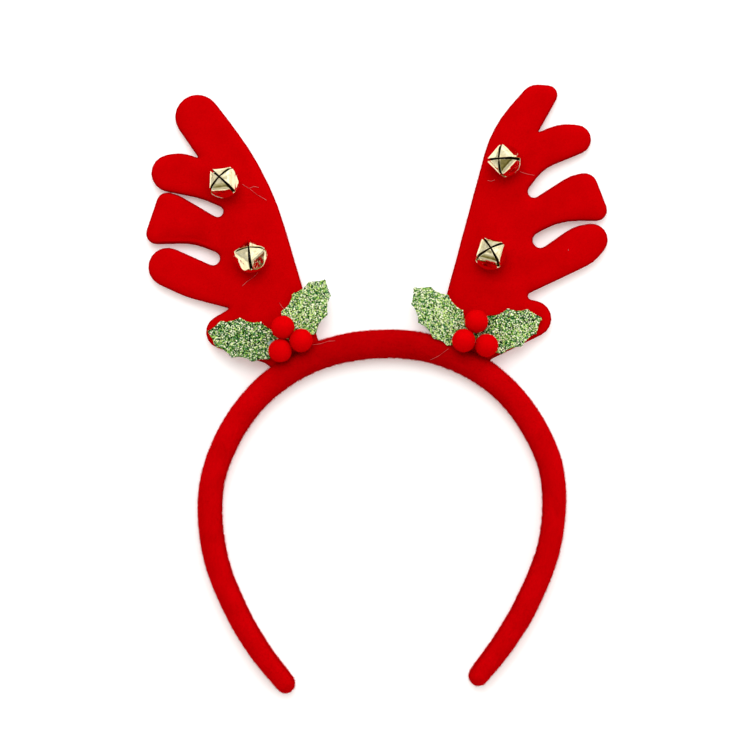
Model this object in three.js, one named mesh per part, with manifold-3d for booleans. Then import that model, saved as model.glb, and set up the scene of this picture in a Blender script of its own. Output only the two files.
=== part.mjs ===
// Christmas headband: a padded felt band with two padded felt antlers, each dressed with
// two jingle bells, two glitter holly leaves and three felt berries.
// Millimetres and degrees. The headband lies on a table: X runs across it, Y from the tips of
// the band towards the antlers, and Z up from the table.

import * as THREE from "three";
import { mergeVertices } from "three/addons/utils/BufferGeometryUtils.js";
import Module from "manifold-3d";

const wasm = await Module();
wasm.setup();

// Clearance between pieces that are glued together
const GAP = 0.3;

// Band: polar stations of its middle line about the centre of the head, 0 degrees at the crown
const HEAD_CENTRE = { x: 1.6, y: -46 };
const BAND_WIDTH = 12;
const BAND_SQUARENESS = 2.6;
const BAND_SIDES = 16;
const BAND_STEPS_BETWEEN_STATIONS = 5;
const BAND_STATIONS = [
  { angle: -151.8, radius: 79.9, thickness: 7.2 },
  { angle: -140, radius: 74.8, thickness: 8.0 },
  { angle: -125, radius: 70.6, thickness: 8.6 },
  { angle: -105, radius: 68.4, thickness: 9.0 },
  { angle: -80, radius: 67.3, thickness: 9.2 },
  { angle: -50, radius: 65.3, thickness: 9.7 },
  { angle: -20, radius: 64.0, thickness: 10.6 },
  { angle: 15, radius: 64.8, thickness: 10.6 },
  { angle: 45, radius: 66.9, thickness: 9.8 },
  { angle: 75, radius: 68.7, thickness: 9.2 },
  { angle: 100, radius: 68.4, thickness: 8.5 },
  { angle: 122, radius: 69.2, thickness: 8.8 },
  { angle: 138, radius: 72.7, thickness: 8.4 },
  { angle: 150.3, radius: 77.6, thickness: 7.4 },
];
// Rounding of the band's two tips: share of the tip's half thickness, and of its section
const TIP_ROUNDING = [
  { beyond: 0.45, scale: 0.9 },
  { beyond: 0.8, scale: 0.62 },
  { beyond: 0.97, scale: 0.28 },
];

// Antlers: a belt drawn round circles, from the foot on the inner edge, over the top and down
// the tines to the foot on the outer edge. "tip" circles lie inside the antler, "notch" circles
// outside it. "out" is measured from the middle of the headband, "up" along Y.
const LEFT_ANTLER = [
  { at: "inner foot", kind: "tip", out: 26.2, up: 14, radius: 4 },
  { at: "inner edge", kind: "tip", out: 151.7, up: 29.7, radius: 120 },
  { at: "top tine", kind: "tip", out: 70.9, up: 107.3, radius: 8.7 },
  { at: "first notch", kind: "notch", out: 70.7, up: 91.2, radius: 0.3 },
  { at: "second tine, upper edge", kind: "tip", out: 78.5, up: 77.3, radius: 15.4 },
  { at: "second tine", kind: "tip", out: 81.8, up: 85.0, radius: 7.2 },
  { at: "second tine, lower edge", kind: "notch", out: 75.2, up: 56.0, radius: 20 },
  { at: "second notch", kind: "notch", out: 62.9, up: 69.9, radius: 2.4 },
  { at: "third tine, upper edge", kind: "tip", out: 83.6, up: 63.6, radius: 13.5 },
  { at: "third tine, upper corner", kind: "tip", out: 83.0, up: 73.3, radius: 3.9 },
  { at: "third tine, lower corner", kind: "tip", out: 87.0, up: 61.1, radius: 4.0 },
  { at: "third tine, lower edge", kind: "notch", out: 76.9, up: 33.4, radius: 24 },
  { at: "third notch", kind: "notch", out: 64.7, up: 51.3, radius: 2.9 },
  { at: "fourth tine", kind: "tip", out: 82.6, up: 47.9, radius: 7.5 },
  { at: "fourth tine, lower edge", kind: "tip", out: 61.7, up: 74.0, radius: 40 },
  { at: "fourth notch", kind: "notch", out: 58.9, up: 31.4, radius: 0.5 },
  { at: "brow tine", kind: "tip", out: 60.9, up: 22.2, radius: 6.4 },
  { at: "outer foot", kind: "tip", out: 36.8, up: 12.1, radius: 4 },
];
const RIGHT_ANTLER = [
  { at: "inner foot", kind: "tip", out: 25.9, up: 15, radius: 4 },
  { at: "top tine, inner edge", kind: "tip", out: 87.1, up: 80.8, radius: 46 },
  { at: "top tine", kind: "tip", out: 63.2, up: 113.5, radius: 6.5 },
  { at: "top tine, corner", kind: "tip", out: 67.6, up: 116.1, radius: 3.6 },
  { at: "first notch", kind: "notch", out: 63.9, up: 101.4, radius: 0.3 },
  { at: "second tine, upper edge", kind: "tip", out: 75.4, up: 84.6, radius: 19.7 },
  { at: "second tine", kind: "tip", out: 78.8, up: 98.4, radius: 5.6 },
  { at: "second tine, lower edge", kind: "notch", out: 76.5, up: 73.0, radius: 17 },
  { at: "second notch", kind: "notch", out: 61.9, up: 77.7, radius: 2.6 },
  { at: "third tine, upper edge", kind: "tip", out: 82.2, up: 69.6, radius: 15.2 },
  { at: "third tine, upper corner", kind: "tip", out: 82.0, up: 80.0, radius: 4.9 },
  { at: "third tine, lower corner", kind: "tip", out: 86.7, up: 70.3, radius: 4.0 },
  { at: "third tine, lower edge", kind: "notch", out: 79.6, up: 37.4, radius: 29 },
  { at: "third notch", kind: "notch", out: 64.4, up: 58.5, radius: 3.2 },
  { at: "fourth tine, upper edge", kind: "tip", out: 84.6, up: 47.3, radius: 17.5 },
  { at: "fourth tine", kind: "tip", out: 84.6, up: 58.6, radius: 6.3 },
  { at: "fourth tine, lower edge", kind: "tip", out: 76, up: 62, radius: 15.1 },
  { at: "fourth notch", kind: "notch", out: 60.9, up: 36.4, radius: 1.6 },
  { at: "brow tine", kind: "tip", out: 61.6, up: 27.5, radius: 7 },
  { at: "outer foot", kind: "tip", out: 40.2, up: 13.9, radius: 4 },
];
const OUTLINE_SAG = 0.12; // how far a straight step may cut inside a round stretch
const OUTLINE_STEP = 30; // widest step round a circle
const PAD_EDGE = [
  { inset: 0, rise: 0.8 },
  { inset: 0.45, rise: 1.9 },
  { inset: 1.4, rise: 2.65 },
  { inset: 3.0, rise: 3.0 },
];
const PAD_HALF = PAD_EDGE.at(-1).rise;
const ANTLER_FOOT = { y: 12, z: 6.2 }; // where the antlers' middle plane leaves the band
const TIP_CLEARANCE = 0.05; // how far above the table the drooping top tine comes to rest

// Bells: a cup, round at the back and boxed towards the front, where it closes with four flat
// petals, with slots between them that run down the corners
const BELL_RADIUS = 6.5;
const BELL_WALL = 0.6;
const BELL_SLOT = 0.8;
const BELL_SLOT_END = -0.8; // height from the bell's middle where the slots end
const BELL_SQUARENESS = 6; // added to the round section's exponent of 2
const BELL_ROUND_BACK = -0.5; // height, as a share of the radius, where the section is still round
const BELL_SQUARE_FRONT = 0.7; // and where it is fully square
const BELL_BOXINESS = 2.6; // exponent of the front half's outline, seen from the side
const PETAL_PEAK = 0.87; // height where the petals meet, as a share of the radius
const PETAL_FALL = 0.35; // fall of a petal towards its fold, per millimetre
const PELLET_RADIUS = 1.7;
const BELLS = [
  { name: "left_upper", side: "left", out: 60.3, up: 80.7, tilt: 22, towards: 130, spin: 2 },
  { name: "left_lower", side: "left", out: 49.5, up: 51.5, tilt: 38, towards: 100, spin: 51 },
  { name: "right_upper", side: "right", out: 50.0, up: 89.1, tilt: 29, towards: 174, spin: 45 },
  { name: "right_lower", side: "right", out: 44.4, up: 52.6, tilt: 20, towards: 95, spin: -16 },
];

// Holly leaves: half widths at the spikes, from the tip to the blunt end under the berries
const LEAF_THICKNESS = 1.0;
const LEAF_SCALLOP = 0.12; // how far the edge draws in between two spikes, as a share of their distance
const LEAF_RIDGE = 0.09; // fall of the leaf from its midrib to its edge, per millimetre
const LEAF_STEPS_BETWEEN_SPIKES = 4;
const LEAF_SPIKES = [
  { along: 0, half: 0.2 },
  { along: 4.0, half: 5.0 },
  { along: 11.2, half: 7.9 },
  { along: 19.5, half: 7.9 },
  { along: 25.4, half: 5.8 },
  { along: 27.5, half: 3.0 },
];
// Tip of each leaf, the way its midrib runs from there, and how far tip and end are lifted
const LEAVES = [
  { name: "left_outer", side: "left", out: 66.3, up: 22.2, runs: -12, tipLift: 0, endLift: 0.4 },
  { name: "left_inner", side: "left", out: 20.4, up: 42.4, runs: -122, tipLift: 0, endLift: 0.8 },
  { name: "right_inner", side: "right", out: 14.6, up: 39.2, runs: -47, tipLift: 0.6, endLift: 2.2 },
  { name: "right_outer", side: "right", out: 64.5, up: 27.6, runs: -160, tipLift: 0, endLift: 0.6 },
];

// Berries: felt balls glued over the ends of the leaves
const BERRY_RADIUS = 4.2;
const BERRIES = [
  { name: "left_top", side: "left", out: 36.8, up: 23.6, lift: 2.4 },
  { name: "left_inner", side: "left", out: 29.7, up: 18.5, lift: 2.8 },
  { name: "left_outer", side: "left", out: 37.9, up: 14.5, lift: 2.0 },
  { name: "right_top", side: "right", out: 38.8, up: 26.0, lift: 2.0 },
  { name: "right_inner", side: "right", out: 33.8, up: 18.4, lift: 4.1 },
  { name: "right_outer", side: "right", out: 42.8, up: 16.6, lift: 2.3 },
];

const SIDES = {
  left: { sign: -1, antler: LEFT_ANTLER },
  right: { sign: 1, antler: RIGHT_ANTLER },
};

// Finishes
const RED_FELT = new THREE.MeshStandardMaterial({ color: 0xc4070b, roughness: 0.95, metalness: 0 });
const BERRY_FELT = new THREE.MeshStandardMaterial({ color: 0xdb0a0c, roughness: 0.95, metalness: 0 });
const GREEN_GLITTER = new THREE.MeshStandardMaterial({ color: 0x7fae6a, roughness: 0.45, metalness: 0.3 });
const GOLD_PLATE = new THREE.MeshStandardMaterial({ color: 0xe3cd86, roughness: 0.2, metalness: 1 });
const STEEL = new THREE.MeshStandardMaterial({ color: 0x8d8d8d, roughness: 0.4, metalness: 1 });

const radians = THREE.MathUtils.degToRad;

// Solids and meshes

function solidFrom(geometry) {
  const bare = new THREE.BufferGeometry();
  bare.setAttribute("position", geometry.getAttribute("position").clone());
  bare.setIndex(geometry.index ? geometry.index.clone() : null);
  const merged = mergeVertices(bare, 1e-4);
  const mesh = new wasm.Mesh({
    numProp: 3,
    vertProperties: merged.getAttribute("position").array,
    triVerts: new Uint32Array(merged.index.array),
  });
  return new wasm.Manifold(mesh);
}

function geometryFrom(solid) {
  const mesh = solid.getMesh();
  const geometry = new THREE.BufferGeometry();
  geometry.setAttribute("position", new THREE.BufferAttribute(mesh.vertProperties, 3));
  geometry.setIndex(new THREE.BufferAttribute(mesh.triVerts, 1));
  return geometry;
}

function namedMesh(name, geometry, material) {
  geometry.computeVertexNormals();
  const mesh = new THREE.Mesh(geometry, material);
  mesh.name = name;
  return mesh;
}

// Closed surface through rings of equal length; contour is an end ring laid flat
function loft(rings, contour) {
  const count = rings[0].length;
  const last = (rings.length - 1) * count;
  const faces = [];
  for (let i = 0; i < rings.length - 1; i++) {
    for (let k = 0; k < count; k++) {
      const a = i * count + k;
      const b = i * count + ((k + 1) % count);
      faces.push(a, b, b + count, a, b + count, a + count);
    }
  }
  for (const [a, b, c] of THREE.ShapeUtils.triangulateShape(contour, [])) {
    faces.push(c, b, a, last + a, last + b, last + c);
  }
  const geometry = new THREE.BufferGeometry().setFromPoints(rings.flat());
  geometry.setIndex(faces);
  return geometry;
}

// Band

// Section across the band, rounded like a cushion, with "outward" across it and "rise" along Z
function bandSection(thickness, width) {
  const points = [];
  for (let k = 0; k < BAND_SIDES; k++) {
    const angle = ((k + 0.5) / BAND_SIDES) * 2 * Math.PI;
    const round = (value) => Math.sign(value) * Math.abs(value) ** (2 / BAND_SQUARENESS);
    const outward = (thickness / 2) * round(Math.cos(angle));
    const rise = (width / 2) * round(Math.sin(angle));
    points.push(new THREE.Vector2(outward, rise));
  }
  return points;
}

function bandRing(middle, tangent, section, centreHeight) {
  const outward = new THREE.Vector2(-tangent.y, tangent.x);
  return section.map((point) => {
    const x = middle.x + outward.x * point.x;
    const y = middle.y + outward.y * point.x;
    return new THREE.Vector3(x, y, centreHeight + point.y);
  });
}

// The whole band; "grown" stands it off on every side, for cutting a seat in what it meets
function bandGeometry(grown) {
  const stations = BAND_STATIONS.map(({ angle, radius, thickness }) => {
    const x = HEAD_CENTRE.x + radius * Math.sin(radians(angle));
    const y = HEAD_CENTRE.y + radius * Math.cos(radians(angle));
    return new THREE.Vector3(x, y, thickness);
  });
  const path = new THREE.CatmullRomCurve3(stations, false, "centripetal");
  const steps = (stations.length - 1) * BAND_STEPS_BETWEEN_STATIONS;
  const flatHalf = BAND_WIDTH / 2 / bandSection(2, 2)[BAND_SIDES / 4].y;
  const body = [];
  for (let i = 0; i <= steps; i++) {
    const at = path.getPoint(i / steps);
    const slope = path.getTangent(i / steps);
    const tangent = new THREE.Vector2(slope.x, slope.y).normalize();
    body.push({ middle: new THREE.Vector2(at.x, at.y), tangent, thickness: at.z });
  }
  const ring = ({ middle, tangent, thickness }, beyond, scale) => {
    const moved = middle.clone().addScaledVector(tangent, beyond);
    const section = bandSection(thickness * scale + 2 * grown, 2 * (flatHalf * scale + grown));
    return bandRing(moved, tangent, section, BAND_WIDTH / 2);
  };
  const tipRings = (end, sense) =>
    TIP_ROUNDING.map(({ beyond, scale }) => ring(end, (sense * beyond * end.thickness) / 2, scale));
  const rings = [
    ...tipRings(body[0], -1).reverse(),
    ...body.map((end) => ring(end, 0, 1)),
    ...tipRings(body.at(-1), 1),
  ];
  return loft(rings, bandSection(1, 1));
}

// Antlers

// Points and outward normals of a belt drawn clockwise round a closed row of circles
function beltOutline(circles) {
  const signed = circles.map(({ kind, radius }) => (kind === "tip" ? radius : -radius));
  const normals = circles.map((from, i) => {
    const to = circles[(i + 1) % circles.length];
    const along = new THREE.Vector2(to.out - from.out, to.up - from.up);
    const lean = (signed[i] - signed[(i + 1) % circles.length]) / along.length();
    along.normalize();
    const left = new THREE.Vector2(-along.y, along.x);
    return along.multiplyScalar(lean).addScaledVector(left, Math.sqrt(1 - lean * lean));
  });
  const outline = [];
  circles.forEach((circle, i) => {
    const start = normals.at(i - 1).angle();
    const turn = -Math.sign(signed[i]);
    const sweep = THREE.MathUtils.euclideanModulo(turn * (normals[i].angle() - start), 2 * Math.PI);
    const finest = 2 * Math.acos(Math.max(0, 1 - OUTLINE_SAG / circle.radius));
    const steps = Math.max(1, Math.ceil(sweep / Math.min(finest, radians(OUTLINE_STEP))));
    for (let k = 0; k <= steps; k++) {
      const angle = start + (turn * sweep * k) / steps;
      const normal = new THREE.Vector2(Math.cos(angle), Math.sin(angle));
      const point = new THREE.Vector2(circle.out, circle.up).addScaledVector(normal, signed[i]);
      outline.push({ point, normal });
    }
  });
  return outline;
}

// Puffed plate inside the outline, alike on both faces, about its own middle plane
function padGeometry(sign, circles) {
  const outline = beltOutline(circles);
  if (sign > 0) outline.reverse();
  const profile = [
    ...PAD_EDGE.map(({ inset, rise }) => ({ inset, rise: -rise })).reverse(),
    ...PAD_EDGE,
  ];
  const rings = profile.map(({ inset, rise }) =>
    outline.map(({ point, normal }) => {
      const out = point.x - inset * normal.x;
      const up = point.y - inset * normal.y;
      return new THREE.Vector3(sign * out, up - ANTLER_FOOT.y, rise);
    }),
  );
  const contour = rings.at(-1).map(({ x, y }) => new THREE.Vector2(x, y));
  return loft(rings, contour);
}

// Angle at which the antler droops until the flat of its top tine reaches the table
function droopAngle(circles) {
  const reach = Math.max(...beltOutline(circles).map(({ point }) => point.y));
  const lever = reach - PAD_EDGE.at(-1).inset - ANTLER_FOOT.y;
  return Math.asin((ANTLER_FOOT.z - PAD_HALF - TIP_CLEARANCE) / lever);
}

function antlerMesh(name, sign, circles, frame) {
  const pad = solidFrom(padGeometry(sign, circles));
  const seat = bandGeometry(GAP).applyMatrix4(frame.matrix.clone().invert());
  return namedMesh(name, geometryFrom(pad.subtract(solidFrom(seat))), RED_FELT);
}

// Bells

// Round at the back, turning to a box with its corners at the slots, and cut off at the front
// by the petals
function bellForm(radius, segments, rows) {
  const geometry = new THREE.SphereGeometry(radius, segments, rows).rotateX(Math.PI / 2);
  const position = geometry.getAttribute("position");
  for (let i = 0; i < position.count; i++) {
    const height = position.getZ(i) / radius;
    const squaring = THREE.MathUtils.smoothstep(height, BELL_ROUND_BACK, BELL_SQUARE_FRONT);
    const exponent = 2 + BELL_SQUARENESS * squaring;
    const angle = Math.atan2(position.getY(i), position.getX(i));
    const sum = Math.abs(Math.cos(angle)) ** exponent + Math.abs(Math.sin(angle)) ** exponent;
    const corner = 2 ** (1 / exponent - 0.5);
    let pull = corner / sum ** (1 / exponent);
    if (height > 0 && height < 1) {
      pull *= (1 - height ** BELL_BOXINESS) ** (1 / BELL_BOXINESS) / Math.sqrt(1 - height * height);
    }
    const x = position.getX(i) * pull;
    const y = position.getY(i) * pull;
    const petal = PETAL_PEAK * radius - PETAL_FALL * Math.max(Math.abs(x), Math.abs(y));
    position.setXYZ(i, x, y, Math.min(position.getZ(i), petal));
  }
  return geometry;
}

function bellShellGeometry() {
  const outside = solidFrom(bellForm(BELL_RADIUS, 16, 10));
  const inside = solidFrom(bellForm(BELL_RADIUS - BELL_WALL, 16, 8));
  const reach = 2 * BELL_RADIUS;
  let shell = outside.subtract(inside);
  for (const turn of [45, 135]) {
    const slot = new THREE.BoxGeometry(2 * reach, BELL_SLOT, reach);
    slot.rotateZ(radians(turn)).translate(0, 0, reach / 2 + BELL_SLOT_END);
    shell = shell.subtract(solidFrom(slot));
  }
  return geometryFrom(shell);
}

function bellGroup({ name, tilt, towards, spin }) {
  const shell = namedMesh(`bell_shell_${name}`, bellShellGeometry(), GOLD_PLATE);
  const tiltAxis = new THREE.Vector3(-Math.sin(radians(towards)), Math.cos(radians(towards)), 0);
  shell.quaternion.setFromAxisAngle(tiltAxis, radians(tilt));
  shell.rotateZ(radians(spin));
  const pellet = namedMesh(`bell_pellet_${name}`, new THREE.SphereGeometry(PELLET_RADIUS, 10, 6), STEEL);
  pellet.position.z = -(BELL_RADIUS - BELL_WALL - PELLET_RADIUS - 2 * GAP);
  return new THREE.Group().add(shell, pellet);
}

// Leaves

// Half width of a leaf at points between its spikes, drawn in by the scallop
function leafStations() {
  const stations = [LEAF_SPIKES[0]];
  LEAF_SPIKES.slice(1).forEach((to, i) => {
    const from = LEAF_SPIKES[i];
    const depth = LEAF_SCALLOP * (to.along - from.along);
    for (let k = 1; k <= LEAF_STEPS_BETWEEN_SPIKES; k++) {
      const share = k / LEAF_STEPS_BETWEEN_SPIKES;
      const half = THREE.MathUtils.lerp(from.half, to.half, share) - 4 * depth * share * (1 - share);
      stations.push({ along: THREE.MathUtils.lerp(from.along, to.along, share), half });
    }
  });
  return stations;
}

// A leaf along +X from its tip, with its midrib raised and its lowest edge at zero
function leafGeometry() {
  const drop = LEAF_RIDGE * Math.max(...LEAF_SPIKES.map(({ half }) => half));
  const rings = leafStations().map(({ along, half }) => {
    const low = drop - LEAF_RIDGE * half;
    return [
      new THREE.Vector3(along, -half, low),
      new THREE.Vector3(along, 0, drop),
      new THREE.Vector3(along, half, low),
      new THREE.Vector3(along, half, low + LEAF_THICKNESS),
      new THREE.Vector3(along, 0, drop + LEAF_THICKNESS),
      new THREE.Vector3(along, -half, low + LEAF_THICKNESS),
    ];
  });
  const contour = rings.at(-1).map(({ y, z }) => new THREE.Vector2(y, z));
  return loft(rings, contour);
}

function leafMesh({ name, runs, tipLift, endLift }) {
  const mesh = namedMesh(`leaf_${name}`, leafGeometry(), GREEN_GLITTER);
  const rise = Math.asin((endLift - tipLift) / LEAF_SPIKES.at(-1).along);
  mesh.rotation.set(0, -rise, radians(runs), "ZYX");
  return mesh;
}

// Berries

function berryMesh({ name }) {
  return namedMesh(`berry_${name}`, new THREE.IcosahedronGeometry(BERRY_RADIUS, 2), BERRY_FELT);
}

// Assembly: what rides on an antler stands in that antler's drooping frame

const headband = new THREE.Group();
headband.add(namedMesh("headband", bandGeometry(0), RED_FELT));

for (const [side, { sign, antler }] of Object.entries(SIDES)) {
  const frame = new THREE.Group();
  frame.position.set(0, ANTLER_FOOT.y, ANTLER_FOOT.z);
  frame.rotation.x = -droopAngle(antler);
  frame.updateMatrix();
  const seat = (object, { out, up }, rise) => {
    object.position.set(sign * out, up - ANTLER_FOOT.y, PAD_HALF + GAP + rise);
    frame.add(object);
  };
  const here = (row) => row.side === side;
  frame.add(antlerMesh(`antler_${side}`, sign, antler, frame));
  for (const bell of BELLS.filter(here)) seat(bellGroup(bell), bell, BELL_RADIUS);
  for (const leaf of LEAVES.filter(here)) seat(leafMesh(leaf), leaf, leaf.tipLift);
  for (const berry of BERRIES.filter(here)) seat(berryMesh(berry), berry, BERRY_RADIUS + berry.lift);
  headband.add(frame);
}

export default headband;
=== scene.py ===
# A christmas headband, lying on a white table: velour band and antlers, gold jingle bells,
# glitter holly leaves and felt berries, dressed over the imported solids.
import math

import bmesh
import bpy
import numpy as np
from mathutils import Matrix, Vector, noise
from mathutils.bvhtree import BVHTree


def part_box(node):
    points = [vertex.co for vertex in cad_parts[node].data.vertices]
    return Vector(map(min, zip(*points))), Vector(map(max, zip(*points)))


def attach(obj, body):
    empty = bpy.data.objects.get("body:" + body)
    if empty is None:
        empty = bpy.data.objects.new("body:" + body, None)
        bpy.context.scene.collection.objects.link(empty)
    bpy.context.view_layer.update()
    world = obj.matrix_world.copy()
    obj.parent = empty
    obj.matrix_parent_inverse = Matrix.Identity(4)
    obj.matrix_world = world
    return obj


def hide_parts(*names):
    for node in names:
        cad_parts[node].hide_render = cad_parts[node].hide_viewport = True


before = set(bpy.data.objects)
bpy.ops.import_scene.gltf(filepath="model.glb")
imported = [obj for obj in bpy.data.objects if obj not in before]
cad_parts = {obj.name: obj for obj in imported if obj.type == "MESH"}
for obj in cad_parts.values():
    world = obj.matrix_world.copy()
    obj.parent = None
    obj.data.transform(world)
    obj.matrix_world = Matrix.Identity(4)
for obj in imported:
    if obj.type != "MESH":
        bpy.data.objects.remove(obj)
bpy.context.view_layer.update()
scene = bpy.context.scene

MM = 0.001  # metres in a millimetre

# Places shared by several pieces
HEAD_CENTRE = np.array([1.6, -46, 6]) * MM  # middle of the band's hollow, at half its width
ANTLER_FOOT = np.array([0, 12, 6.2]) * MM  # on both antlers' middle planes
DROOP = {"left": math.radians(1.79), "right": math.radians(1.72)}  # antlers lean to the table

# Photograph: square, taken from straight above
PHOTO_WIDTH = 295.5 * MM  # on a plane through the antlers
PHOTO_MIDDLE = (-0.8 * MM, 5.3 * MM)
PLANE_HEIGHT = 7 * MM
CAMERA_HEIGHT = 1.1
SENSOR = 36  # millimetres


# Materials

def linear(hex_colour):
    """An sRGB hex colour as the linear values that shaders take."""
    shares = [int(hex_colour[i : i + 2], 16) / 255 for i in (1, 3, 5)]
    return (*[c / 12.92 if c <= 0.04045 else ((c + 0.055) / 1.055) ** 2.4 for c in shares], 1.0)


def add_node(tree, kind, inputs=None, stops=None, **settings):
    """Adds a shader node with its settings, its links or values, and a ramp's colours."""
    node = tree.nodes.new(kind)
    for name, value in settings.items():
        setattr(node, name, value)
    for name, value in (inputs or {}).items():
        if isinstance(value, bpy.types.NodeSocket):
            tree.links.new(value, node.inputs[name])
        else:
            node.inputs[name].default_value = value
    for i, (place, colour) in enumerate(stops or []):
        elements = node.color_ramp.elements
        element = elements[i] if i < len(elements) else elements.new(place)
        element.position = place
        element.color = linear(colour)
    return node


def new_material(name, **values):
    """A material with its node tree and its shader, and the values that hold all over it."""
    material = bpy.data.materials.new(name)
    material.use_nodes = True
    shader = material.node_tree.nodes["Principled BSDF"]
    for socket, value in values.items():
        shader.inputs[socket.replace("_", " ")].default_value = value
    return material, material.node_tree, shader


def velour(name, shade, body, nap, pressed):
    """Knitted polyester velour with a brushed nap: an even, deep red with no shine but
    a glow along its edges, in soft patches where the nap lies another way, with a fine grain
    of fibres, and painted shade: darker, towards the last colour given, where the attribute "pressed" holds
    painted shade."""
    patch, grain = 9 * MM, 0.45 * MM
    material, tree, shader = new_material(
        name,
        Roughness=0.95,
        Specular_IOR_Level=0.0,
        Sheen_Weight=0.3,
        Sheen_Roughness=0.5,
        Sheen_Tint=linear(nap),
    )
    place = add_node(tree, "ShaderNodeTexCoord").outputs["Object"]
    patches = add_node(tree, "ShaderNodeTexNoise", {"Vector": place, "Scale": 1 / patch, "Detail": 3.0})
    fibres = add_node(tree, "ShaderNodeTexNoise", {"Vector": place, "Scale": 1 / grain, "Detail": 4.0})
    both = add_node(
        tree, "ShaderNodeMath", {0: patches.outputs["Fac"], 1: fibres.outputs["Fac"]}, operation="MULTIPLY"
    )
    colour = add_node(
        tree,
        "ShaderNodeValToRGB",
        {"Fac": both.outputs[0]},
        stops=[(0.12, shade), (0.26, body), (0.42, nap)],
    )
    # Painted shade: the attribute pressed says how far the colour is darkened towards the last colour given.
    painted_shade = add_node(tree, "ShaderNodeAttribute", attribute_name="pressed")
    shaded_colour = add_node(
        tree,
        "ShaderNodeMix",
        {0: painted_shade.outputs["Fac"], 6: colour.outputs["Color"], 7: linear(pressed)},
        data_type="RGBA",
    )
    relief = add_node(
        tree, "ShaderNodeBump", {"Height": fibres.outputs["Fac"], "Strength": 0.35, "Distance": 0.12 * MM}
    )
    tree.links.new(shaded_colour.outputs[2], shader.inputs["Base Color"])
    tree.links.new(relief.outputs["Normal"], shader.inputs["Normal"])
    return material


def fibre(name, root, tip):
    """Loose polyester fibre of the nap: a little lighter than the cloth under it."""
    material, tree, shader = new_material(name, Roughness=0.9, Specular_IOR_Level=0.0)
    place = add_node(tree, "ShaderNodeTexCoord").outputs["Object"]
    strands = add_node(tree, "ShaderNodeTexNoise", {"Vector": place, "Scale": 1 / (2 * MM), "Detail": 2.0})
    colour = add_node(
        tree, "ShaderNodeValToRGB", {"Fac": strands.outputs["Fac"]}, stops=[(0.35, root), (0.65, tip)]
    )
    tree.links.new(colour.outputs["Color"], shader.inputs["Base Color"])
    return material


def gold_plate(name):
    """Gold-plated pressed steel, tumbled bright: a pale mirror with faint handling marks and
    the slight waviness of pressed sheet."""
    material, tree, shader = new_material(name, Metallic=1.0)
    place = add_node(tree, "ShaderNodeTexCoord").outputs["Object"]
    marks = add_node(tree, "ShaderNodeTexNoise", {"Vector": place, "Scale": 1 / (1.6 * MM), "Detail": 5.0})
    waves = add_node(tree, "ShaderNodeTexNoise", {"Vector": place, "Scale": 1 / (1.8 * MM), "Detail": 0.0})
    colour = add_node(
        tree, "ShaderNodeValToRGB", {"Fac": marks.outputs["Fac"]}, stops=[(0.3, "#dfd0a0"), (0.7, "#efe6c2")]
    )
    polish = add_node(
        tree, "ShaderNodeMapRange", {"Value": marks.outputs["Fac"], "To Min": 0.04, "To Max": 0.14}
    )
    relief = add_node(
        tree, "ShaderNodeBump", {"Height": waves.outputs["Fac"], "Strength": 0.5, "Distance": 0.25 * MM}
    )
    tree.links.new(colour.outputs["Color"], shader.inputs["Base Color"])
    tree.links.new(polish.outputs["Result"], shader.inputs["Roughness"])
    tree.links.new(relief.outputs["Normal"], shader.inputs["Normal"])
    return material


def bare_inside(name):
    """The bells' unplated inside: brown brass with a dull skin from the press."""
    material, tree, shader = new_material(name, Metallic=0.4, Roughness=0.7)
    place = add_node(tree, "ShaderNodeTexCoord").outputs["Object"]
    skin = add_node(tree, "ShaderNodeTexNoise", {"Vector": place, "Scale": 1 / (1.2 * MM)})
    colour = add_node(
        tree,
        "ShaderNodeValToRGB",
        {"Fac": skin.outputs["Fac"]},
        stops=[(0.35, "#40280a"), (0.65, "#604414")],
    )
    tree.links.new(colour.outputs["Color"], shader.inputs["Base Color"])
    return material


def ball_steel(name):
    """Bare steel shot: grey, dulled by a film of oxide in spots."""
    material, tree, shader = new_material(name, Metallic=1.0, Roughness=0.4)
    place = add_node(tree, "ShaderNodeTexCoord").outputs["Object"]
    film = add_node(tree, "ShaderNodeTexNoise", {"Vector": place, "Scale": 1 / (0.8 * MM)})
    colour = add_node(
        tree, "ShaderNodeValToRGB", {"Fac": film.outputs["Fac"]}, stops=[(0.4, "#5b5854"), (0.6, "#9a9894")]
    )
    tree.links.new(colour.outputs["Color"], shader.inputs["Base Color"])
    return material


def glitter_backing(name):
    """Green foam sheet under the glitter, with specks of the finest grade in its lacquer."""
    material, tree, shader = new_material(name, Roughness=0.6)
    place = add_node(tree, "ShaderNodeTexCoord").outputs["Object"]
    specks = add_node(tree, "ShaderNodeTexVoronoi", {"Vector": place, "Scale": 1 / (0.5 * MM)})
    shares = add_node(tree, "ShaderNodeSeparateColor", {"Color": specks.outputs["Color"]})
    colour = add_node(
        tree,
        "ShaderNodeValToRGB",
        {"Fac": shares.outputs["Red"]},
        stops=[(0.0, "#123a1a"), (0.5, "#2f6e34"), (1.0, "#6fa45f")],
    )
    tree.links.new(colour.outputs["Color"], shader.inputs["Base Color"])
    return material


def glitter_flake(name):
    """Metallised polyester flakes, each with its own tint: small tilted mirrors. The near-white tints are
    painted glints, the near-black ones painted shade.
    """
    material, tree, shader = new_material(name, Metallic=0.3, Roughness=0.25, Specular_IOR_Level=0.0)
    tint = add_node(tree, "ShaderNodeAttribute", attribute_name="tint")
    tree.links.new(tint.outputs["Color"], shader.inputs["Base Color"])
    return material


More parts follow.
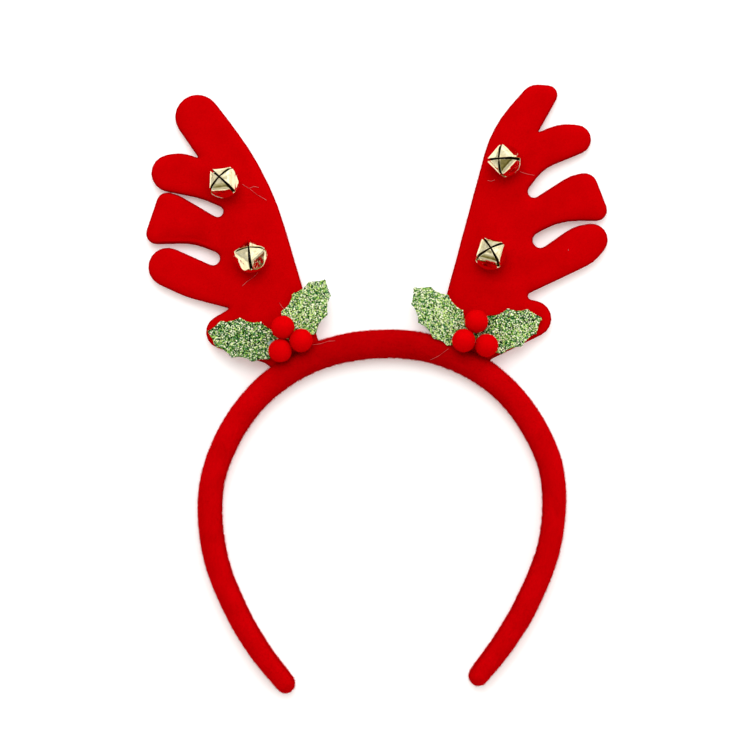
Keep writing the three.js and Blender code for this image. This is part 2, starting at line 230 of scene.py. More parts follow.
def hot_glue(name, clear, milky):
    """Hot-melt glue: milky and half clear, tinted by what lies under it."""
    material, tree, shader = new_material(name, Roughness=0.4, Transmission_Weight=0.3, IOR=1.48)
    place = add_node(tree, "ShaderNodeTexCoord").outputs["Object"]
    cloud = add_node(tree, "ShaderNodeTexNoise", {"Vector": place, "Scale": 1 / (3 * MM)})
    colour = add_node(
        tree, "ShaderNodeValToRGB", {"Fac": cloud.outputs["Fac"]}, stops=[(0.35, clear), (0.65, milky)]
    )
    tree.links.new(colour.outputs["Color"], shader.inputs["Base Color"])
    return material


# The last colour of each velour is its painted shade, put where the attribute pressed asks for it.
ANTLER_VELOUR = velour("antler_velour", "#b00002", "#b80003", "#bf0004", "#7c0002")
BAND_VELOUR = velour("band_velour", "#b00003", "#b90004", "#c20006", "#7c0002")
BERRY_FELT = velour("berry_felt", "#c60003", "#cb0004", "#d00005", "#a80003")
ANTLER_NAP = fibre("antler_nap", "#b00002", "#c00406")
BAND_NAP = fibre("band_nap", "#ad0003", "#c00509")
BERRY_NAP = fibre("berry_nap", "#c80003", "#d20507")
BELL_GOLD = gold_plate("bell_gold_plate")
BELL_INSIDE = bare_inside("bell_bare_inside")
PELLET_STEEL = ball_steel("pellet_steel")
LEAF_BACKING = glitter_backing("leaf_backing")
LEAF_GLITTER = glitter_flake("leaf_glitter")
GLUE_HAIR = hot_glue("glue_hair", "#c8201c", "#e0706a")
GLUE_DAB = hot_glue("glue_dab", "#7d9a8c", "#b9cdbf")


# Making pieces

def shaped(node):
    """A mesh of a CAD node's shape, with its shared corners merged, to work on."""
    shape = bmesh.new()
    shape.from_mesh(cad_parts[node].data)
    bmesh.ops.remove_doubles(shape, verts=shape.verts, dist=0.001 * MM)
    return shape


def link(name, data):
    piece = bpy.data.objects.new(name, data)
    scene.collection.objects.link(piece)
    return piece


def piece_from(name, shape, material, smooth=True):
    """An object from a bmesh, with its material."""
    mesh = bpy.data.meshes.new(name)
    for face in shape.faces:
        face.smooth = smooth
    shape.to_mesh(mesh)
    shape.free()
    mesh.materials.append(material)
    return link(name, mesh)


def settle(piece):
    """Applies a piece's modifiers to its mesh."""
    graph = bpy.context.evaluated_depsgraph_get()
    mesh = bpy.data.meshes.new_from_object(piece.evaluated_get(graph))
    piece.modifiers.clear()
    piece.data = mesh


def dress(piece, slot, *nodes):
    """The piece rides on the headband and stands for these nodes, which it hides; slot is not used."""
    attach(piece, "root")
    if nodes:
        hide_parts(*nodes)


def surface_of(mesh):
    """A mesh's corners and the normals there, as arrays."""
    points, normals = np.empty((2, len(mesh.vertices) * 3))
    mesh.vertices.foreach_get("co", points)
    mesh.vertices.foreach_get("normal", normals)
    return points.reshape(-1, 3), normals.reshape(-1, 3)


def move_to(mesh, points):
    mesh.vertices.foreach_set("co", points.ravel())
    mesh.update()


def lumps(points, size):
    """Smooth random heights between -1 and 1 over points, in lumps of a size."""
    return np.array([noise.noise(Vector(point)) for point in points / size])


def unit(vectors):
    return vectors / np.linalg.norm(vectors, axis=1, keepdims=True)


def ease(share):
    """A smooth step from 0 to 1 while a share goes from 0 to 1."""
    share = np.clip(share, 0, 1)
    return share * share * (3 - 2 * share)


def scatter(piece, count, rng):
    """Random points spread evenly over a piece's faces, and the faces' normals there."""
    mesh = piece.data
    mesh.calc_loop_triangles()
    triangles = np.empty(len(mesh.loop_triangles) * 3, int)
    mesh.loop_triangles.foreach_get("vertices", triangles)
    a, b, c = surface_of(mesh)[0][triangles.reshape(-1, 3)].transpose(1, 0, 2)
    across = np.cross(b - a, c - a)
    area = np.linalg.norm(across, axis=1)
    pick = rng.choice(len(area), count, p=area / area.sum())
    u, v = rng.random((2, count, 1))
    outside = u + v > 1
    u, v = np.where(outside, 1 - u, u), np.where(outside, 1 - v, v)
    points = a[pick] + u * (b - a)[pick] + v * (c - a)[pick]
    return points, across[pick] / area[pick, None]


NAP_SPREAD = 0.55  # of the ways that fibres lean, as a share of their length
NAP_UPRIGHT = 0.15  # cosine from the cloth's normal, below which a fibre stands straight up
NAP_ROOT = 0.05 * MM  # that a fibre starts below the cloth's face


def nap(name, piece, material, seed, count, length, width):
    """Loose fibres that stand out of a cloth, each a slim blade leaning its own way, from half
    the length given to one and a half times it."""
    rng = np.random.default_rng(seed)
    roots, normals = scatter(piece, count, rng)
    lean = unit(normals + NAP_SPREAD * rng.normal(size=(count, 3)))
    lean = np.where(np.sum(lean * normals, axis=1, keepdims=True) < NAP_UPRIGHT, normals, lean)
    side = unit(np.cross(lean, rng.normal(size=(count, 3)))) * width / 2
    reach = length * (0.5 + rng.random((count, 1)))
    roots = roots - NAP_ROOT * normals
    tips = roots + lean * reach
    tips[:, 2] = np.maximum(tips[:, 2], 0)
    points = np.stack([roots - side, roots + side, tips], axis=1).reshape(-1, 3)
    mesh = bpy.data.meshes.new(name)
    mesh.from_pydata(points, [], np.arange(count * 3).reshape(-1, 3))
    mesh.materials.append(material)
    return link(name, mesh)


# Band

BAND_PILE = 0.15 * MM  # that the cloth stands proud of its solid
BAND_LUMP = 0.12 * MM
BAND_LUMP_SIZE = 7 * MM
LAP_STEP = 0.3 * MM  # thickness of the velour where it laps along the inner side
LAP_HEIGHT = 1.6 * MM
LAP_EDGE = 0.6 * MM  # of the slope from the lap to the cloth beside it
PUCKER_DEPTH = 0.14 * MM
PUCKER_PITCH = 4.2 * MM
PUCKER_DRIFT = 3  # radians by which the puckers stray from an even pitch
PUCKER_DRIFT_SIZE = 20 * MM
PUCKER_PATCH_SIZE = 15 * MM  # of the patches in which they are deep or shallow
CROWN_REACH = (25 * MM, 55 * MM)  # along the band from its middle: all in painted shade, then none
CROWN_SHADE = 0.3
BERRY_SHADOW_SPOTS = [(-32.2 * MM, 14.2 * MM), (37.2 * MM, 14.6 * MM)]  # painted shadows under the berries
BERRY_SHADOW_RADIUS = 3.5 * MM
SIDE_SHADE = 0.7  # painted shade down the band's sides
SIDE_SLOPE = 0.45  # the normal's rise from which the sides get no painted shade
BAND_FIBRES = {"count": 90000, "length": 0.7 * MM, "width": 0.08 * MM}
BAND_SEED = 11


def band_piece():
    """The padded band: rounded from its solid, with the cloth lapped along the inner side,
    where it puckers, the unevenness of hand-glued cloth, and painted shade along the crown,
    down the sides and in painted shadows under the berries."""
    shape = shaped("headband")
    bmesh.ops.join_triangles(shape, faces=shape.faces, angle_face_threshold=0.6, angle_shape_threshold=0.8)
    band = piece_from("band_velour_cover", shape, BAND_VELOUR)
    rounding = band.modifiers.new("rounding", "SUBSURF")
    rounding.levels = rounding.render_levels = 2
    settle(band)
    points, normals = surface_of(band.data)
    arm = points - HEAD_CENTRE
    radius = np.linalg.norm(arm[:, :2], axis=1)
    inward = np.maximum(0, -np.sum(normals[:, :2] * arm[:, :2], axis=1) / radius)
    along = np.arctan2(arm[:, 0], arm[:, 1]) * radius
    drift = PUCKER_DRIFT * lumps(points, PUCKER_DRIFT_SIZE)
    pucker = np.sin(along / PUCKER_PITCH * 2 * math.pi + drift)
    pucker *= PUCKER_DEPTH * inward**2 * (0.5 + lumps(points, PUCKER_PATCH_SIZE))
    lap = LAP_STEP * inward * (1 - ease((arm[:, 2] - LAP_HEIGHT) / LAP_EDGE))
    under = np.maximum(0, -normals[:, 2]) ** 2
    rise = (BAND_PILE + lumps(points, BAND_LUMP_SIZE) * BAND_LUMP + pucker + lap) * (1 - under)
    points += normals * rise[:, None]
    points[:, 2] = np.maximum(points[:, 2], 0)
    move_to(band.data, points)
    # Painted shade: darker along the crown, down the sides and in spots under the berries, kept in the
    # attribute pressed.
    flat, plain = CROWN_REACH
    painted_shade = CROWN_SHADE * (1 - ease((np.abs(along) - flat) / (plain - flat)))
    painted_shade *= arm[:, 1] > 0
    painted_shade = np.maximum(painted_shade, SIDE_SHADE * ease(1 - np.abs(normals[:, 2]) / SIDE_SLOPE))
    for spot in BERRY_SHADOW_SPOTS:
        near = 1 - np.linalg.norm(points[:, :2] - spot, axis=1) / BERRY_SHADOW_RADIUS
        painted_shade = np.maximum(painted_shade, ease(near))
    pressed = band.data.attributes.new("pressed", "FLOAT", "POINT")
    pressed.data.foreach_set("value", painted_shade)
    dress(band, "band_felt", "headband")
    dress(nap("band_nap", band, BAND_NAP, BAND_SEED, **BAND_FIBRES), "band_felt")
    return band


# Antlers

VOXEL = 0.5 * MM
SLACK = 0.25 * MM  # that the edges draw in for the remesh, so that narrow notches stay open
EDGE_PILE = 0.18 * MM  # that the cloth stands proud of its solid round the edge
THINNED = 0.9  # share of the thickness that the pads have before they swell
SWELL_PRESSURE = 20
SWELL_FRAMES = 10
SWELL_LIMIT = 0.45 * MM
SEAT_RADIUS = (71 * MM, 76 * MM)  # from no swelling at the band to all of it
TUCK = 2 * MM  # how far the foot runs into the band's pile
TUCK_RADIUS = (71 * MM, 73 * MM)
ANTLER_LUMP = 0.15 * MM
ANTLER_LUMP_SIZE = 11 * MM
SEAM_HALF = 0.5 * MM
SEAM_DEPTH = 0.15 * MM
SEAM_FACING = 0.6  # cosine from the antler's plane, below which the cloth is its edge
EDGE_FACING = (0.75, 0.25)  # from where painted shade begins towards the edge, to full painted shade
EDGE_SHADE = 0.8
TABLE_GAP = 0.02 * MM
ANTLER_FIBRES = {"count": 60000, "length": 0.4 * MM, "width": 0.06 * MM}
ANTLER_SEEDS = {"left": 25, "right": 26}
# Where the padding runs thin towards the lower edge of the third tines: the line, seen from
# above, from which the pad slopes down, and how far it falls
THIN_EDGES = {
    "left": {"start": (-89 * MM, 65 * MM), "end": (-63 * MM, 64 * MM), "fall": 1.3 * MM},
    "right": {"start": (62 * MM, 71 * MM), "end": (90 * MM, 74 * MM), "fall": 0.2 * MM},
}
THIN_WIDTH = 7.5 * MM  # from the line to the tine's edge
THIN_END = 1.2 * THIN_WIDTH  # beyond the edge, where the next tine is left alone
THIN_FADE = 6 * MM  # at both ends of the line


def thinned_edge(points, start, end, fall):
    """How far points sink where the padding runs thin below a line."""
    x, y = points[:, 0], points[:, 1]
    below = np.interp(x, [start[0], end[0]], [start[1], end[1]]) - y
    ends = ease((x - start[0]) / THIN_FADE) * ease((end[0] - x) / THIN_FADE)
    return fall * ease(below / THIN_WIDTH) * (below < THIN_END) * ends


def swollen(piece):
    """Where a cloth cover's corners go when its padding presses out."""
    cloth = piece.modifiers.new("cloth", "CLOTH")
    cloth.settings.quality = 3
    cloth.settings.use_pressure = True
    cloth.settings.uniform_pressure_force = SWELL_PRESSURE
    cloth.settings.effector_weights.gravity = 0
    cloth.collision_settings.use_collision = False
    cloth.point_cache.frame_start = 1
    cloth.point_cache.frame_end = SWELL_FRAMES
    for step in range(1, SWELL_FRAMES + 1):
        scene.frame_set(step)
    graph = bpy.context.evaluated_depsgraph_get()
    points, _ = surface_of(piece.evaluated_get(graph).data)
    piece.modifiers.clear()
    scene.frame_set(1)
    return points


def antler_piece(side):
    """A padded antler: two layers of velour swollen by the padding between them, pressed
    together round the edge, with its foot tucked against the band."""
    up = np.array([0, math.sin(DROOP[side]), math.cos(DROOP[side])])
    plumb = Vector(up)
    shape = shaped(f"antler_{side}")
    shape.normal_update()
    for vertex in shape.verts:
        height = plumb.dot(vertex.co - Vector(ANTLER_FOOT))
        outward = vertex.normal - plumb * plumb.dot(vertex.normal)
        vertex.co -= plumb * height * (1 - THINNED) + outward * SLACK
    antler = piece_from(f"antler_{side}_velour", shape, ANTLER_VELOUR)
    remesh = antler.modifiers.new("even_mesh", "REMESH")
    remesh.mode = "VOXEL"
    remesh.voxel_size = VOXEL
    remesh.use_smooth_shade = True
    settle(antler)
    points, normals = surface_of(antler.data)
    facing = np.abs(normals @ up)
    arm = points - HEAD_CENTRE
    radius = np.linalg.norm(arm[:, :2], axis=1)
    free = ease((radius - SEAT_RADIUS[0]) / (SEAT_RADIUS[1] - SEAT_RADIUS[0]))
    move = swollen(antler) - points
    size = np.linalg.norm(move, axis=1)
    held = np.divide(SWELL_LIMIT, size, out=np.ones_like(size), where=size > SWELL_LIMIT)
    move *= (held * facing * free)[:, None]
    height = (points - ANTLER_FOOT) @ up
    rise = ANTLER_LUMP * lumps(points, ANTLER_LUMP_SIZE) * facing
    rise -= thinned_edge(points, **THIN_EDGES[side]) * np.maximum(0, normals @ up)
    rise -= SEAM_DEPTH * np.maximum(0, 1 - (height / SEAM_HALF) ** 2) * (facing < SEAM_FACING)
    tuck = TUCK * (1 - ease((radius - TUCK_RADIUS[0]) / (TUCK_RADIUS[1] - TUCK_RADIUS[0])))
    outward = normals - (normals @ up)[:, None] * up
    points = points + move + normals * rise[:, None] + outward * (SLACK + EDGE_PILE)
    points[:, :2] -= arm[:, :2] / radius[:, None] * tuck[:, None]
    points[:, 2] = np.maximum(points[:, 2], TABLE_GAP)
    move_to(antler.data, points)
    # Painted shade on the side walls: the attribute pressed darkens the cloth as it turns edge-on.
    pressed = antler.data.attributes.new("pressed", "FLOAT", "POINT")
    begin, end = EDGE_FACING
    pressed.data.foreach_set("value", ease((begin - facing) / (begin - end)) * EDGE_SHADE)
    dress(antler, "antler_felt", f"antler_{side}")
    fuzz = nap(f"antler_{side}_nap", antler, ANTLER_NAP, ANTLER_SEEDS[side], **ANTLER_FIBRES)
    dress(fuzz, "antler_felt")
    return antler


# Bells

BELL_RADIUS = 6.5 * MM  # from the middle to a corner
BELL_WALL = 0.45 * MM
BELL_SLOT = 0.7 * MM  # where the slots cross
BELL_SLOT_FLARE = 0.045  # widening of a slot on each side, per length
BELL_SLOT_END = -0.8 * MM
BELL_SQUARENESS = 6  # added to the round section's exponent of 2
BELL_SQUARING = (-0.5, 0.7)  # heights, as shares of the radius, from round to fully square
BELL_BOXINESS = 2.6  # exponent of the front half's outline, seen from the side
PETAL_PEAK = 0.87 * BELL_RADIUS
PETAL_FALL = 0.35
PETAL_SHOULDER = 1.6 * MM  # of the bend from a petal to the side of the cup
BELL_RIM = 0.1 * MM  # rounding of the sheet's cut edges
BELL_RIM_ANGLE = math.radians(60)  # from which an edge counts as cut
PELLET_DROP = 3.6 * MM  # from the bell's middle to its pellet, where it lies
PELLET_DENT = 0.03  # share of the radius
PELLET_DENT_SIZE = 1.5 * MM
BELLS = {
    "left_upper": {"tilt": 22, "towards": 130, "spin": 2},
    "left_lower": {"tilt": 38, "towards": 100, "spin": 51},
    "right_upper": {"tilt": 29, "towards": 174, "spin": 45},
    "right_lower": {"tilt": 20, "towards": 95, "spin": -16},
}


def squared(place):
    """Turns a ball into a bell's outside, round at the back and boxed towards the front, with
    its corners at the slots."""
    height = place.z / BELL_RADIUS
    back, front = BELL_SQUARING
    power = 2 + BELL_SQUARENESS * float(ease((height - back) / (front - back)))
    angle = math.atan2(place.y, place.x)
    total = abs(math.cos(angle)) ** power + abs(math.sin(angle)) ** power
    pull = 2 ** (1 / power - 0.5) / total ** (1 / power)
    if 0 < height < 1:
        pull *= (1 - height**BELL_BOXINESS) ** (1 / BELL_BOXINESS) / math.sqrt(1 - height**2)
    return Vector((place.x * pull, place.y * pull, place.z))


def bent(height, petal):
    """The lower of two heights, with a round bend where they meet."""
    near = max(PETAL_SHOULDER - abs(height - petal), 0) / PETAL_SHOULDER
    return min(height, petal) - near * near * PETAL_SHOULDER / 4


def cut(shape, place, normal):
    """Cuts every face of a shape along a plane, and leaves both halves."""
    everything = shape.verts[:] + shape.edges[:] + shape.faces[:]
    bmesh.ops.bisect_plane(shape, geom=everything, plane_co=place, plane_no=normal)


def in_slot(place, slots):
    """Whether a place on the bell lies in one of its slots, which run out from the front."""
    if place.z < BELL_SLOT_END:
        return False
    for along, across in slots:
        reach = place.dot(along)
        if reach > 0 and abs(place.dot(across)) < BELL_SLOT / 2 + BELL_SLOT_FLARE * reach:
            return True
    return False


def bell_piece(name, tilt, towards, spin):
    """A pressed jingle bell: cup and petals in one sheet, folded square at the front, with
    slots cut between the petals."""
    shape = bmesh.new()
    bmesh.ops.create_uvsphere(shape, u_segments=72, v_segments=48, radius=BELL_RADIUS)
    for vertex in shape.verts:
        vertex.co = squared(vertex.co)
    for vertex in shape.verts:
        petal = PETAL_PEAK - PETAL_FALL * max(abs(vertex.co.x), abs(vertex.co.y))
        vertex.co.z = bent(vertex.co.z, petal)
    slots = []
    for turn in (45, 135, 225, 315):
        along = Vector((math.cos(math.radians(turn)), math.sin(math.radians(turn)), 0))
        across = Vector((-along.y, along.x, 0))
        for edge in (1, -1):
            cut(shape, across * edge * BELL_SLOT / 2, across - along * edge * BELL_SLOT_FLARE)
        slots.append((along, across))
    cut(shape, (0, 0, BELL_SLOT_END), (0, 0, 1))
    waste = [face for face in shape.faces if in_slot(face.calc_center_median(), slots)]
    bmesh.ops.delete(shape, geom=waste, context="FACES")
    bmesh.ops.remove_doubles(shape, verts=shape.verts, dist=0.01 * MM)
    side = name.split("_")[0]
    up = Vector((0, math.sin(DROOP[side]), math.cos(DROOP[side])))
    low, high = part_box(f"bell_pellet_{name}")
    axis = Vector((-math.sin(math.radians(towards)), math.cos(math.radians(towards)), 0))
    turn = Matrix.Rotation(-DROOP[side], 4, "X")
    turn = turn @ Matrix.Rotation(math.radians(tilt), 4, axis)
    turn = turn @ Matrix.Rotation(math.radians(spin), 4, "Z")
    place = Matrix.Translation((low + high) / 2 + up * PELLET_DROP)
    bmesh.ops.transform(shape, matrix=place @ turn, verts=shape.verts)
    bell = piece_from(f"bell_{name}", shape, BELL_GOLD)
    bell.data.materials.append(BELL_INSIDE)
    wall = bell.modifiers.new("wall", "SOLIDIFY")
    wall.thickness = BELL_WALL
    wall.offset = -1
    wall.material_offset = 1
    rim = bell.modifiers.new("rim", "BEVEL")
    rim.width = BELL_RIM
    rim.segments = 2
    rim.limit_method = "ANGLE"
    rim.angle_limit = BELL_RIM_ANGLE
    settle(bell)
    dress(bell, "bell_gold", f"bell_shell_{name}")


def pellet_piece(name):
    """The steel shot inside a bell, a little out of round."""
    low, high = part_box(f"bell_pellet_{name}")
    shape = bmesh.new()
    bmesh.ops.create_icosphere(shape, subdivisions=3, radius=(high.x - low.x) / 2)
    for vertex in shape.verts:
        vertex.co *= 1 + PELLET_DENT * noise.noise(vertex.co / PELLET_DENT_SIZE)
    bmesh.ops.translate(shape, verts=shape.verts, vec=(low + high) / 2)
    dress(piece_from(f"pellet_{name}", shape, PELLET_STEEL), "pellet_steel", f"bell_pellet_{name}")


# Holly leaves

FLAKES = 3200  # on each leaf
FLAKE_SIZE = 0.55 * MM
FLAKE_SIDES = 6
FLAKE_TILT = 0.35  # spread of the flakes' normals round the leaf's
FLAKE_DEPTH = 0.15 * MM  # of the layer that they are strewn in
LEAF_UNDERSIDE = -0.2  # rise of the normal, below which no flake is strewn
# Share of each tint in the painted light, where a leaf is turned to the light, and in the painted shade,
# where it is turned away. The near-white tints are painted glints, the near-black ones painted shade, the
# greens the glitter's own colours
FLAKE_TINTS = {
    "#faffd8": {"light": 0.32, "dark": 0.24},
    "#d0ec86": {"light": 0.18, "dark": 0.10},
    "#9ccc5c": {"light": 0.10, "dark": 0.07},
    "#70ab44": {"light": 0.08, "dark": 0.07},
    "#377e2a": {"light": 0.08, "dark": 0.09},
    "#124a16": {"light": 0.11, "dark": 0.14},
    "#021405": {"light": 0.13, "dark": 0.29},
}
LIGHT_SLOPE = -0.04  # of a leaf's face towards its half before the midrib
LEAF_WAVE = 0.25 * MM
LEAF_WAVE_SIZE = 7 * MM
LEAF_SEED = 31  # of the first leaf
# Each leaf's two halves, beyond its midrib and before it; light marks a half in painted light, dark a half
# in painted shade
LEAVES = {
    "left_outer": ("dark", "dark"),
    "left_inner": ("light", "light"),
    "right_inner": ("light", "light"),
    "right_outer": ("dark", "light"),
}


def flakes(name, leaf, halves, seed):
    """Glitter strewn over a leaf's face: six-sided flakes, each tilted and tinted by chance from its half's
    mix, painted light on lit halves and painted shade on dark ones.
    """
    rng = np.random.default_rng(seed)
    points, normals = scatter(leaf, 3 * FLAKES, rng)
    upper = normals[:, 2] > LEAF_UNDERSIDE
    points, normals = points[upper][:FLAKES], normals[upper][:FLAKES]
    count = len(points)
    facing = unit(normals + FLAKE_TILT * rng.normal(size=(count, 3)))
    across = unit(np.cross(facing, rng.normal(size=(count, 3))))
    along = np.cross(facing, across)
    radius = FLAKE_SIZE / 2 * (0.7 + 0.6 * rng.random((count, 1)))
    middle = points + normals * FLAKE_DEPTH * rng.random((count, 1))
    rim = []
    for turn in range(FLAKE_SIDES):
        angle = 2 * math.pi * turn / FLAKE_SIDES
        rim.append(middle + radius * (math.cos(angle) * across + math.sin(angle) * along))
    corners = np.stack(rim, axis=1).reshape(-1, 3)
    mesh = bpy.data.meshes.new(name)
    mesh.from_pydata(corners, [], np.arange(count * FLAKE_SIDES).reshape(-1, FLAKE_SIDES))
    palette = np.array([linear(tint) for tint in FLAKE_TINTS])
    mixes = np.cumsum([[share[half] for share in FLAKE_TINTS.values()] for half in halves], axis=1)
    # Each half takes the painted-light mix or the painted-shade mix given for it.
    mix = mixes[np.where(normals[:, 1] < LIGHT_SLOPE, 1, 0), :-1]
    chosen = palette[np.sum(rng.random((count, 1)) > mix, axis=1)]
    tint = mesh.attributes.new("tint", "FLOAT_COLOR", "POINT")
    tint.data.foreach_set("color", np.repeat(chosen, FLAKE_SIDES, axis=0).ravel())
    mesh.materials.append(LEAF_GLITTER)
    return link(name, mesh)


def leaf_piece(name, halves, seed):
    """A die-cut holly leaf: a foam sheet with a raised midrib, a little wavy, and its glitter."""
    shape = shaped(f"leaf_{name}")
    bmesh.ops.subdivide_edges(shape, edges=shape.edges, cuts=2, use_grid_fill=True)
    for vertex in shape.verts:
        spot = Vector((vertex.co.x, vertex.co.y, seed * MM)) / LEAF_WAVE_SIZE
        vertex.co.z += LEAF_WAVE * noise.noise(spot)
    leaf = piece_from(f"leaf_{name}_sheet", shape, LEAF_BACKING, smooth=False)
    dress(leaf, "leaf_glitter", f"leaf_{name}")
    dress(flakes(f"leaf_{name}_glitter", leaf, halves, seed), "leaf_glitter")


# Berries

BERRY_PUFF = 0.35 * MM  # that the felt stands proud of its solid
BERRY_LUMP = 0.15 * MM
BERRY_LUMP_SIZE = 3.5 * MM
BERRY_APART = 20 * MM  # between two berries' places in the noise
BERRY_FIBRES = {"count": 4000, "length": 0.4 * MM, "width": 0.06 * MM}
BERRY_SEED = 41  # of the first berry
BERRIES = ["left_top", "left_inner", "left_outer", "right_top", "right_inner", "right_outer"]


def berry_piece(name, seed):
    """A felted ball, not quite round, with its loose fibres."""
    low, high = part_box(f"berry_{name}")
    shape = bmesh.new()
    bmesh.ops.create_icosphere(shape, subdivisions=5, radius=(high.z - low.z) / 2 + BERRY_PUFF)
    for vertex in shape.verts:
        spot = (vertex.co + Vector((0, 0, seed * BERRY_APART))) / BERRY_LUMP_SIZE
        vertex.co += vertex.co.normalized() * BERRY_LUMP * noise.noise(spot)
    bmesh.ops.translate(shape, verts=shape.verts, vec=(low + high) / 2)
    berry = piece_from(f"berry_{name}_felt", shape, BERRY_FELT)
    dress(berry, "berry_felt", f"berry_{name}")
    dress(nap(f"berry_{name}_nap", berry, BERRY_NAP, seed, **BERRY_FIBRES), "berry_felt")


# Glue: hairs left on the velour, drawn as runs of points in millimetres seen from above, and a dab

GLUE_HAIRS = [
    [(-53, 80.4), (-50.5, 78.8), (-48.6, 79.6), (-46.6, 79.2)],
    [(-50, 78.6), (-47.4, 76.4), (-43.6, 74.2)],
    [(-53.2, 40.2), (-51, 42.2), (-48.6, 43.8), (-47, 45.6)],
    [(-38.4, 33.8), (-37.6, 32.4), (-36.4, 31)],
    [(56.4, 85.4), (58.6, 84.6), (62.0, 84)],
    [(43.6, 82), (45, 81.6), (46.4, 82.2)],
    [(75.2, 55), (75.4, 54.6), (75.3, 54.2)],
    [(-25.6, 17.1), (-22, 17.6), (-19, 18.6), (-16.5, 18.7)],
    [(20.9, 11.2), (24.2, 12.8), (28, 15.6)],
]
HAIR_RADIUS = 0.08 * MM
HAIR_LIFT = 3 * HAIR_RADIUS  # over the cloth, so that the nap doesn't hide it
HAIR_STEPS = 6  # from one point of a run to the next
DAB_PLACE = Vector((-41.2, 17.6, 11.3)) * MM
DAB_SIZE = Vector((1.7, 1.3, 0.5)) * MM
DAB_LUMP = 0.3  # share of its size
DAB_LUMP_SIZE = 1.2 * MM


def glue_hairs(grounds):
    """Fine hairs of hot glue, lying on the pieces given."""
    graph = bpy.context.evaluated_depsgraph_get()
    trees = [BVHTree.FromObject(ground, graph) for ground in grounds]
    curve = bpy.data.curves.new("glue_hairs", "CURVE")
    curve.dimensions = "3D"
    curve.bevel_depth = HAIR_RADIUS
    curve.bevel_resolution = 2
    curve.use_fill_caps = True
    for run in GLUE_HAIRS:
        steps = np.linspace(0, len(run) - 1, (len(run) - 1) * HAIR_STEPS + 1)
        x, y = [np.interp(steps, range(len(run)), places) * MM for places in zip(*run)]
        spline = curve.splines.new("NURBS")
        spline.points.add(len(steps) - 1)
        for point, place in zip(spline.points, zip(x, y)):
            hits = [tree.ray_cast(Vector((*place, 1)), Vector((0, 0, -1)))[0] for tree in trees]
            height = max((hit.z for hit in hits if hit), default=PLANE_HEIGHT)
            point.co = (*place, height + HAIR_LIFT, 1)
        spline.use_endpoint_u = True
        spline.order_u = 3
    drawn = link("glue_hairs_drawn", curve)
    bpy.context.view_layer.update()
    mesh = bpy.data.meshes.new_from_object(drawn.evaluated_get(bpy.context.evaluated_depsgraph_get()))
    bpy.data.objects.remove(drawn)
    mesh.materials.clear()
    mesh.materials.append(GLUE_HAIR)
    dress(link("glue_hairs", mesh), "antler_felt")


def glue_dab():
    """A flat dab of glue that shows where a leaf ends under the berries."""
    shape = bmesh.new()
    bmesh.ops.create_icosphere(shape, subdivisions=3, radius=1)
    bmesh.ops.scale(shape, vec=DAB_SIZE, verts=shape.verts)
    for vertex in shape.verts:
        vertex.co *= 1 + DAB_LUMP * noise.noise(vertex.co / DAB_LUMP_SIZE)
    bmesh.ops.translate(shape, verts=shape.verts, vec=DAB_PLACE)
    dress(piece_from("glue_dab", shape, GLUE_DAB), "leaf_glitter")


# Table, light and camera

TABLE_GLOW = 0.25
TABLE_HALF = 4.0  # metres
SOFT_BOX = {"place": (-0.12, 0.6, 1.3), "size": 0.8, "power": 9.0}  # metres and watts
# The room glows most high up on one side: the way there, and the glow by the cosine from it
ROOM_WAY = (0.35, 0.6, 0.72)
ROOM_GLOW = {"From Min": 0.4, "From Max": 1.0, "To Min": 0.78, "To Max": 1.5}
ROOM_CLUTTER = 4  # lumps of light and dark across the room
CLUTTER_GLOW = {"From Min": 0.35, "From Max": 0.65, "To Min": 0.6, "To Max": 1.4}
# The ceiling has a dark olive patch: the way to it, and the share of the glow by the cosine from it
PATCH_COLOUR = "#d8cc00"
PATCH_WAY = (-0.15, -0.35, 0.92)
PATCH_GLOW = {"From Min": 0.84, "From Max": 0.97, "To Min": 1.0, "To Max": 0.25}


def table():
    """A white light table under the headband, wide enough to fill every view."""
    material, tree, shader = new_material(
        "white_table",
        Roughness=0.9,
        Specular_IOR_Level=0.0,
        Emission_Color=linear("#ffffff"),
        Emission_Strength=TABLE_GLOW,
    )
    place = add_node(tree, "ShaderNodeTexCoord").outputs["Object"]
    paper = add_node(tree, "ShaderNodeTexNoise", {"Vector": place, "Scale": 1 / (40 * MM)})
    colour = add_node(
        tree, "ShaderNodeValToRGB", {"Fac": paper.outputs["Fac"]}, stops=[(0.3, "#f6f6f6"), (0.7, "#f9f9f9")]
    )
    tree.links.new(colour.outputs["Color"], shader.inputs["Base Color"])
    shape = bmesh.new()
    bmesh.ops.create_grid(shape, x_segments=1, y_segments=1, size=TABLE_HALF)
    piece_from("table", shape, material)


def soft_box(place, size, power):
    """A square soft box that faces the headband. The bells don't mirror it, because it would
    burn a petal white."""
    light = bpy.data.lights.new("soft_box", "AREA")
    light.shape = "SQUARE"
    light.size = size
    light.energy = power
    holder = link("soft_box", light)
    holder.visible_camera = False
    holder.visible_glossy = False
    holder.location = place
    holder.rotation_euler = (-Vector(place)).to_track_quat("-Z", "Y").to_euler()


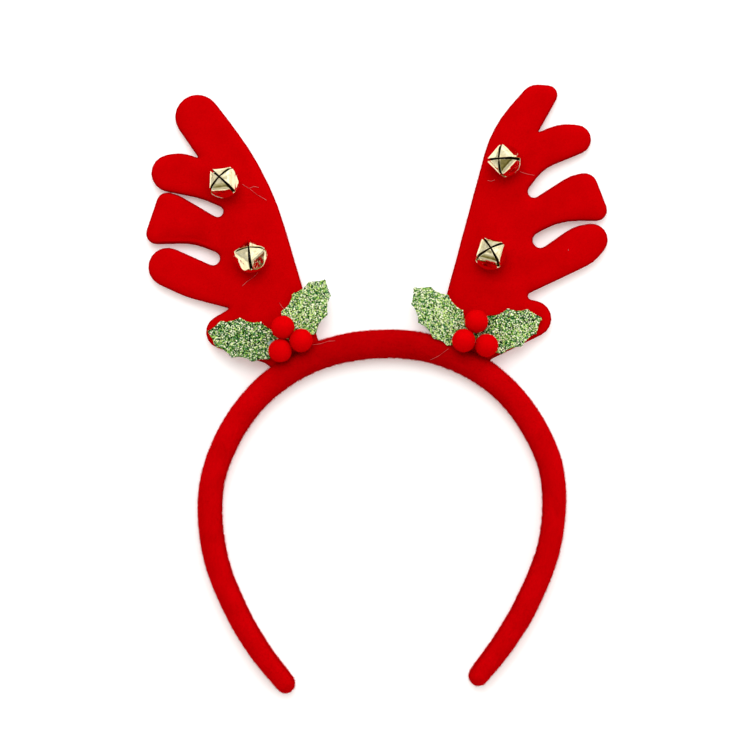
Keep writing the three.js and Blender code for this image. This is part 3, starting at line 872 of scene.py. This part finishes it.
def studio():
    """A white room with light from all round, most of it from high up beyond the antlers, under
    a ceiling with a dark olive patch, and a soft box that casts the short shadows."""
    world = bpy.data.worlds.new("studio")
    scene.world = world
    world.use_nodes = True
    tree = world.node_tree
    way = add_node(tree, "ShaderNodeTexCoord").outputs["Generated"]
    side = add_node(tree, "ShaderNodeVectorMath", {0: way, 1: ROOM_WAY}, operation="DOT_PRODUCT")
    room = add_node(tree, "ShaderNodeMapRange", {"Value": side.outputs["Value"], **ROOM_GLOW})
    near = add_node(tree, "ShaderNodeVectorMath", {0: way, 1: PATCH_WAY}, operation="DOT_PRODUCT")
    patch = add_node(tree, "ShaderNodeMapRange", {"Value": near.outputs["Value"], **PATCH_GLOW})
    clutter = add_node(tree, "ShaderNodeTexNoise", {"Vector": way, "Scale": ROOM_CLUTTER, "Detail": 2.0})
    uneven = add_node(tree, "ShaderNodeMapRange", {"Value": clutter.outputs["Fac"], **CLUTTER_GLOW})
    glow = room.outputs["Result"]
    for share in (patch, uneven):
        glow = add_node(
            tree, "ShaderNodeMath", {0: glow, 1: share.outputs["Result"]}, operation="MULTIPLY"
        ).outputs[0]
    tree.links.new(glow, tree.nodes["Background"].inputs["Strength"])
    colour = add_node(
        tree,
        "ShaderNodeMix",
        {0: patch.outputs["Result"], 6: linear(PATCH_COLOUR), 7: linear("#ffffff")},
        data_type="RGBA",
    )
    tree.links.new(colour.outputs[2], tree.nodes["Background"].inputs["Color"])
    soft_box(**SOFT_BOX)
    scene.view_settings.view_transform = "Standard"


def overhead_camera():
    camera = bpy.data.cameras.new("camera")
    camera.sensor_width = SENSOR
    camera.lens = SENSOR * (CAMERA_HEIGHT - PLANE_HEIGHT) / PHOTO_WIDTH
    holder = link("camera", camera)
    holder.location = (*PHOTO_MIDDLE, CAMERA_HEIGHT)
    scene.camera = holder


band = band_piece()
antlers = [antler_piece(side) for side in DROOP]
for name, pose in BELLS.items():
    bell_piece(name, **pose)
    pellet_piece(name)
for number, (name, halves) in enumerate(LEAVES.items()):
    leaf_piece(name, halves, LEAF_SEED + number)
for number, name in enumerate(BERRIES):
    berry_piece(name, BERRY_SEED + number)
glue_hairs([band, *antlers])
glue_dab()
table()
studio()
overhead_camera()
